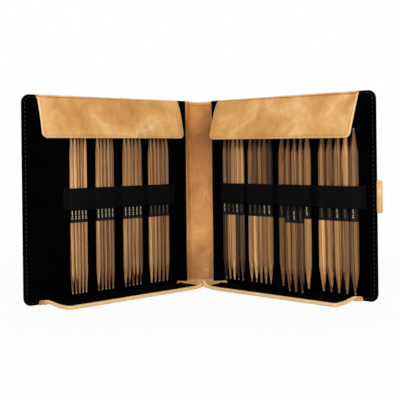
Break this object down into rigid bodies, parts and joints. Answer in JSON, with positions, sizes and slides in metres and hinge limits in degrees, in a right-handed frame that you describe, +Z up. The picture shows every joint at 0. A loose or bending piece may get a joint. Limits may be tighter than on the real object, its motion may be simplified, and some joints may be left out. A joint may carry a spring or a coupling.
{
  "type": "double-pointed needle set",
  "caption": "Folding leather case that stands open like a book, with needles pointed at both ends held in elastic loops between top and bottom flaps.",
  "frame": {"origin": "centre of the spine's bottom end, midway between the folds beside the spine", "axes": "+Z up along the spine, +X from the left cover to the right cover, +Y away from the open side"},
  "size_m": [0.3276, 0.1666, 0.192],
  "materials": {
    "tan_leather": "mottled, semi-matt",
    "board": "plain grey board",
    "black_lining": "woven, matt",
    "black_elastic": "ribbed elastic",
    "snap_metal": "aged brass",
    "wood_light": "light maple tan laminated wood, polished",
    "wood_gold": "golden tan laminated wood, polished",
    "wood_tan": "mid tan laminated wood, polished",
    "wood_rose": "rosy tan laminated wood, polished",
    "wood_brown": "grey brown laminated wood, polished",
    "wood_dark": "charcoal brown laminated wood, polished"
  },
  "bodies": {
    "spine": {"spine_leather": "tan_leather", "spine_board": "board"},
    "left_hinge_strip": {"left_hinge_leather": "tan_leather"},
    "left_cover": {"left_cover_leather": "tan_leather", "left_cover_board": "board", "left_lining": "black_lining", "left_elastic_band": "black_elastic", "snap_stud": "snap_metal"},
    "left_top_flap": {"left_top_flap": "tan_leather"},
    "left_bottom_flap": {"left_bottom_flap": "tan_leather"},
    "right_hinge_strip": {"right_hinge_leather": "tan_leather"},
    "right_cover": {"right_cover_leather": "tan_leather", "right_cover_board": "board", "right_lining": "black_lining", "right_elastic_band": "black_elastic"},
    "right_top_flap": {"right_top_flap": "tan_leather"},
    "right_bottom_flap": {"right_bottom_flap": "tan_leather"},
    "strap_bridge": {"strap_bridge": "tan_leather"},
    "strap_tongue": {"strap_tongue": "tan_leather", "snap_socket": "snap_metal"},
    "needle_1a": {"needle_1a": "wood_tan"},
    "needle_1b": {"needle_1b": "wood_tan"},
    "needle_1c": {"needle_1c": "wood_light"},
    "needle_1d": {"needle_1d": "wood_gold"},
    "needle_1e": {"needle_1e": "wood_light"},
    "needle_2a": {"needle_2a": "wood_brown"},
    "needle_2b": {"needle_2b": "wood_tan"},
    "needle_2c": {"needle_2c": "wood_rose"},
    "needle_2d": {"needle_2d": "wood_brown"},
    "needle_2e": {"needle_2e": "wood_gold"},
    "needle_3a": {"needle_3a": "wood_brown"},
    "needle_3b": {"needle_3b": "wood_gold"},
    "needle_3c": {"needle_3c": "wood_rose"},
    "needle_3d": {"needle_3d": "wood_tan"},
    "needle_3e": {"needle_3e": "wood_light"},
    "needle_4a": {"needle_4a": "wood_brown"},
    "needle_4b": {"needle_4b": "wood_brown"},
    "needle_4c": {"needle_4c": "wood_rose"},
    "needle_4d": {"needle_4d": "wood_gold"},
    "needle_4e": {"needle_4e": "wood_light"},
    "needle_5a": {"needle_5a": "wood_dark"},
    "needle_5b": {"needle_5b": "wood_gold"},
    "needle_5c": {"needle_5c": "wood_light"},
    "needle_5d": {"needle_5d": "wood_dark"},
    "needle_5e": {"needle_5e": "wood_brown"},
    "needle_6a": {"needle_6a": "wood_tan"},
    "needle_6b": {"needle_6b": "wood_light"},
    "needle_6c": {"needle_6c": "wood_tan"},
    "needle_6d": {"needle_6d": "wood_tan"},
    "needle_6e": {"needle_6e": "wood_rose"},
    "needle_7a": {"needle_7a": "wood_brown"},
    "needle_7b": {"needle_7b": "wood_rose"},
    "needle_7c": {"needle_7c": "wood_tan"},
    "needle_7d": {"needle_7d": "wood_brown"},
    "needle_7e": {"needle_7e": "wood_light"},
    "needle_8a": {"needle_8a": "wood_light"},
    "needle_8b": {"needle_8b": "wood_tan"},
    "needle_8c": {"needle_8c": "wood_gold"},
    "needle_8d": {"needle_8d": "wood_rose"},
    "needle_8e": {"needle_8e": "wood_brown"}
  },
  "joints": [
    {"name": "left_cover_fold", "type": "hinge", "parent": "left_hinge_strip", "child": "left_cover", "pos_m": [-0.01462, -0.0035, 0], "axis": [0, 0, 1], "range_deg": [0, 45.6]},
    {"name": "right_cover_fold", "type": "hinge", "parent": "right_hinge_strip", "child": "right_cover", "pos_m": [0.01462, -0.0035, 0], "axis": [0, 0, -1], "range_deg": [0, 45.6]},
    {"name": "left_spine_fold", "type": "hinge", "parent": "spine", "child": "left_hinge_strip", "pos_m": [-0.01105, 0, 0], "axis": [0, 0, 1], "range_deg": [-44.4, 0]},
    {"name": "right_spine_fold", "type": "hinge", "parent": "spine", "child": "right_hinge_strip", "pos_m": [0.01105, 0, 0], "axis": [0, 0, -1], "range_deg": [-44.4, 0]},
    {"name": "left_top_flap_fold", "type": "hinge", "parent": "left_cover", "child": "left_top_flap", "pos_m": [-0.08376, -0.07582, 0.1907], "axis": [-0.7145, -0.6997, 0], "range_deg": [0, 165]},
    {"name": "right_top_flap_fold", "type": "hinge", "parent": "right_cover", "child": "right_top_flap", "pos_m": [0.08376, -0.07582, 0.1907], "axis": [-0.7145, 0.6997, 0], "range_deg": [0, 155]},
    {"name": "left_bottom_flap_fold", "type": "hinge", "parent": "left_cover", "child": "left_bottom_flap", "pos_m": [-0.07998, -0.07968, 0.001], "axis": [-0.7145, -0.6997, 0], "range_deg": [0, 90]},
    {"name": "right_bottom_flap_fold", "type": "hinge", "parent": "right_cover", "child": "right_bottom_flap", "pos_m": [0.07788, -0.08182, 0.001], "axis": [-0.7145, 0.6997, 0], "range_deg": [0, 90]},
    {"name": "strap_fold", "type": "hinge", "parent": "right_cover", "child": "strap_bridge", "pos_m": [0.16516, -0.1442, 0.0955], "axis": [0, 0, -1], "range_deg": [0, 270]},
    {"name": "strap_tip_fold", "type": "hinge", "parent": "strap_bridge", "child": "strap_tongue", "pos_m": [0.13641, -0.11604, 0.0955], "axis": [0, 0, -1], "range_deg": [0, 90]},
    {"name": "needle_1a_slide", "type": "slide", "parent": "left_cover", "child": "needle_1a", "axis": [0, 0, 1], "range_m": [-0.004, 0.008]},
    {"name": "needle_1b_slide", "type": "slide", "parent": "left_cover", "child": "needle_1b", "axis": [0, 0, 1], "range_m": [-0.004, 0.008]},
    {"name": "needle_1c_slide", "type": "slide", "parent": "left_cover", "child": "needle_1c", "axis": [0, 0, 1], "range_m": [-0.004, 0.008]},
    {"name": "needle_1d_slide", "type": "slide", "parent": "left_cover", "child": "needle_1d", "axis": [0, 0, 1], "range_m": [-0.004, 0.008]},
    {"name": "needle_1e_slide", "type": "slide", "parent": "left_cover", "child": "needle_1e", "axis": [0, 0, 1], "range_m": [-0.004, 0.008]},
    {"name": "needle_2a_slide", "type": "slide", "parent": "left_cover", "child": "needle_2a", "axis": [0, 0, 1], "range_m": [-0.004, 0.008]},
    {"name": "needle_2b_slide", "type": "slide", "parent": "left_cover", "child": "needle_2b", "axis": [0, 0, 1], "range_m": [-0.004, 0.008]},
    {"name": "needle_2c_slide", "type": "slide", "parent": "left_cover", "child": "needle_2c", "axis": [0, 0, 1], "range_m": [-0.004, 0.008]},
    {"name": "needle_2d_slide", "type": "slide", "parent": "left_cover", "child": "needle_2d", "axis": [0, 0, 1], "range_m": [-0.004, 0.008]},
    {"name": "needle_2e_slide", "type": "slide", "parent": "left_cover", "child": "needle_2e", "axis": [0, 0, 1], "range_m": [-0.004, 0.008]},
    {"name": "needle_3a_slide", "type": "slide", "parent": "left_cover", "child": "needle_3a", "axis": [0, 0, 1], "range_m": [-0.004, 0.008]},
    {"name": "needle_3b_slide", "type": "slide", "parent": "left_cover", "child": "needle_3b", "axis": [0, 0, 1], "range_m": [-0.004, 0.008]},
    {"name": "needle_3c_slide", "type": "slide", "parent": "left_cover", "child": "needle_3c", "axis": [0, 0, 1], "range_m": [-0.004, 0.008]},
    {"name": "needle_3d_slide", "type": "slide", "parent": "left_cover", "child": "needle_3d", "axis": [0, 0, 1], "range_m": [-0.004, 0.008]},
    {"name": "needle_3e_slide", "type": "slide", "parent": "left_cover", "child": "needle_3e", "axis": [0, 0, 1], "range_m": [-0.004, 0.008]},
    {"name": "needle_4a_slide", "type": "slide", "parent": "left_cover", "child": "needle_4a", "axis": [0, 0, 1], "range_m": [-0.004, 0.008]},
    {"name": "needle_4b_slide", "type": "slide", "parent": "left_cover", "child": "needle_4b", "axis": [0, 0, 1], "range_m": [-0.004, 0.008]},
    {"name": "needle_4c_slide", "type": "slide", "parent": "left_cover", "child": "needle_4c", "axis": [0, 0, 1], "range_m": [-0.004, 0.008]},
    {"name": "needle_4d_slide", "type": "slide", "parent": "left_cover", "child": "needle_4d", "axis": [0, 0, 1], "range_m": [-0.004, 0.008]},
    {"name": "needle_4e_slide", "type": "slide", "parent": "left_cover", "child": "needle_4e", "axis": [0, 0, 1], "range_m": [-0.004, 0.008]},
    {"name": "needle_5a_slide", "type": "slide", "parent": "right_cover", "child": "needle_5a", "axis": [0, 0, 1], "range_m": [-0.004, 0.014]},
    {"name": "needle_5b_slide", "type": "slide", "parent": "right_cover", "child": "needle_5b", "axis": [0, 0, 1], "range_m": [-0.004, 0.014]},
    {"name": "needle_5c_slide", "type": "slide", "parent": "right_cover", "child": "needle_5c", "axis": [0, 0, 1], "range_m": [-0.004, 0.014]},
    {"name": "needle_5d_slide", "type": "slide", "parent": "right_cover", "child": "needle_5d", "axis": [0, 0, 1], "range_m": [-0.004, 0.014]},
    {"name": "needle_5e_slide", "type": "slide", "parent": "right_cover", "child": "needle_5e", "axis": [0, 0, 1], "range_m": [-0.004, 0.014]},
    {"name": "needle_6a_slide", "type": "slide", "parent": "right_cover", "child": "needle_6a", "axis": [0, 0, 1], "range_m": [-0.004, 0.014]},
    {"name": "needle_6b_slide", "type": "slide", "parent": "right_cover", "child": "needle_6b", "axis": [0, 0, 1], "range_m": [-0.004, 0.014]},
    {"name": "needle_6c_slide", "type": "slide", "parent": "right_cover", "child": "needle_6c", "axis": [0, 0, 1], "range_m": [-0.004, 0.014]},
    {"name": "needle_6d_slide", "type": "slide", "parent": "right_cover", "child": "needle_6d", "axis": [0, 0, 1], "range_m": [-0.004, 0.014]},
    {"name": "needle_6e_slide", "type": "slide", "parent": "right_cover", "child": "needle_6e", "axis": [0, 0, 1], "range_m": [-0.004, 0.014]},
    {"name": "needle_7a_slide", "type": "slide", "parent": "right_cover", "child": "needle_7a", "axis": [0, 0, 1], "range_m": [-0.004, 0.014]},
    {"name": "needle_7b_slide", "type": "slide", "parent": "right_cover", "child": "needle_7b", "axis": [0, 0, 1], "range_m": [0, 0.014]},
    {"name": "needle_7c_slide", "type": "slide", "parent": "right_cover", "child": "needle_7c", "axis": [0, 0, 1], "range_m": [0, 0.014]},
    {"name": "needle_7d_slide", "type": "slide", "parent": "right_cover", "child": "needle_7d", "axis": [0, 0, 1], "range_m": [0, 0.014]},
    {"name": "needle_7e_slide", "type": "slide", "parent": "right_cover", "child": "needle_7e", "axis": [0, 0, 1], "range_m": [-0.004, 0.014]},
    {"name": "needle_8a_slide", "type": "slide", "parent": "right_cover", "child": "needle_8a", "axis": [0, 0, 1], "range_m": [-0.004, 0.014]},
    {"name": "needle_8b_slide", "type": "slide", "parent": "right_cover", "child": "needle_8b", "axis": [0, 0, 1], "range_m": [-0.004, 0.014]},
    {"name": "needle_8c_slide", "type": "slide", "parent": "right_cover", "child": "needle_8c", "axis": [0, 0, 1], "range_m": [-0.004, 0.014]},
    {"name": "needle_8d_slide", "type": "slide", "parent": "right_cover", "child": "needle_8d", "axis": [0, 0, 1], "range_m": [-0.004, 0.014]},
    {"name": "needle_8e_slide", "type": "slide", "parent": "right_cover", "child": "needle_8e", "axis": [0, 0, 1], "range_m": [-0.004, 0.014]}
  ],
  "couplings": [
    {"joint": "left_bottom_flap_fold", "follows": "left_cover_fold", "ratio": 1.9737},
    {"joint": "right_bottom_flap_fold", "follows": "right_cover_fold", "ratio": 1.9737}
  ]
}
